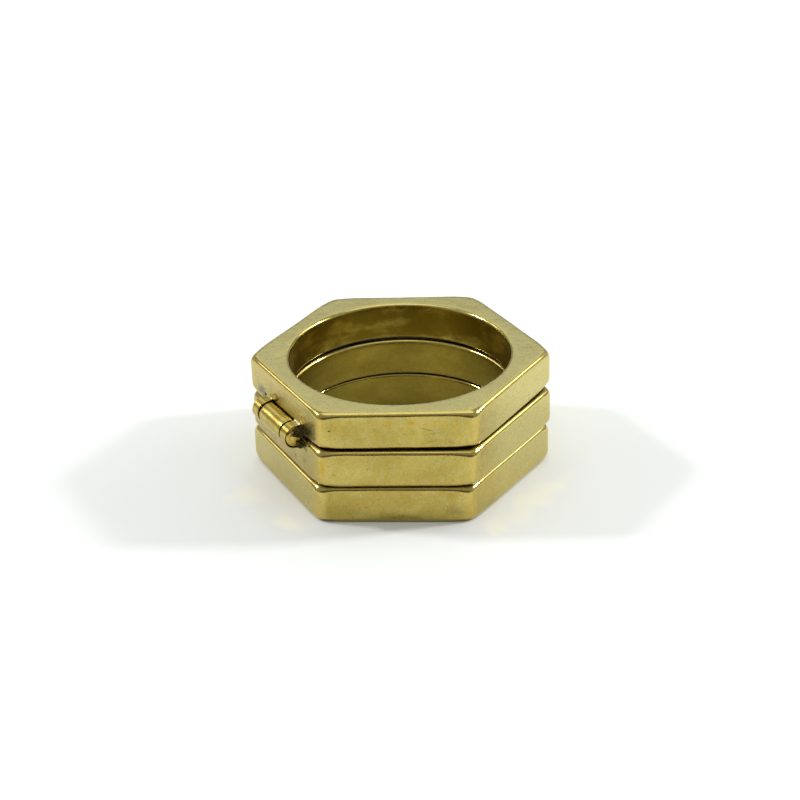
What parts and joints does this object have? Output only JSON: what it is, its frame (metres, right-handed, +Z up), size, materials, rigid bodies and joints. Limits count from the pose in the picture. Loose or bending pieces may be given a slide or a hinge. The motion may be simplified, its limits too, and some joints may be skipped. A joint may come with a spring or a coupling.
{
  "type": "folding hexagonal finger ring",
  "caption": "Brass puzzle finger ring: stacked hexagonal bands on a round bore, joined by let-in barrel hinges on opposite flats so the stack unfolds into a flat row.",
  "frame": {"origin": "centre of the underside of the stacked ring, on the axis of the finger bore", "axes": "+Z up the finger bore; the hinged flats face -X (upper hinge) and +X (lower hinge); Y runs corner to corner, along both hinge axes"},
  "size_m": [0.0232, 0.0234, 0.0096],
  "materials": {
    "band_brass": "satin aged brass with faint tarnish and polished edges",
    "hinge_brass": "drawn brass tube, semi-bright",
    "pin_brass": "peened brass wire",
    "solder": "dull filed solder with dark flux marks"
  },
  "bodies": {
    "bottom_section": {"bottom_band": "band_brass", "lower_hinge_centre_knuckle": "hinge_brass", "lower_hinge_centre_solder": "solder"},
    "middle_section": {"middle_band": "band_brass", "lower_hinge_front_knuckle": "hinge_brass", "lower_hinge_back_knuckle": "hinge_brass", "lower_hinge_front_solder": "solder", "lower_hinge_back_solder": "solder", "lower_hinge_pin": "pin_brass", "upper_hinge_centre_knuckle": "hinge_brass", "upper_hinge_centre_solder": "solder"},
    "top_section": {"top_band": "band_brass", "upper_hinge_front_knuckle": "hinge_brass", "upper_hinge_back_knuckle": "hinge_brass", "upper_hinge_front_solder": "solder", "upper_hinge_back_solder": "solder", "upper_hinge_pin": "pin_brass"}
  },
  "joints": [
    {"name": "lower_hinge", "type": "hinge", "parent": "bottom_section", "child": "middle_section", "pos_m": [0.01068, 0, 0.00314], "axis": [0, 1, 0], "range_deg": [0, 180]},
    {"name": "upper_hinge", "type": "hinge", "parent": "middle_section", "child": "top_section", "pos_m": [-0.01068, 0, 0.00639], "axis": [0, -1, 0], "range_deg": [0, 180]}
  ]
}
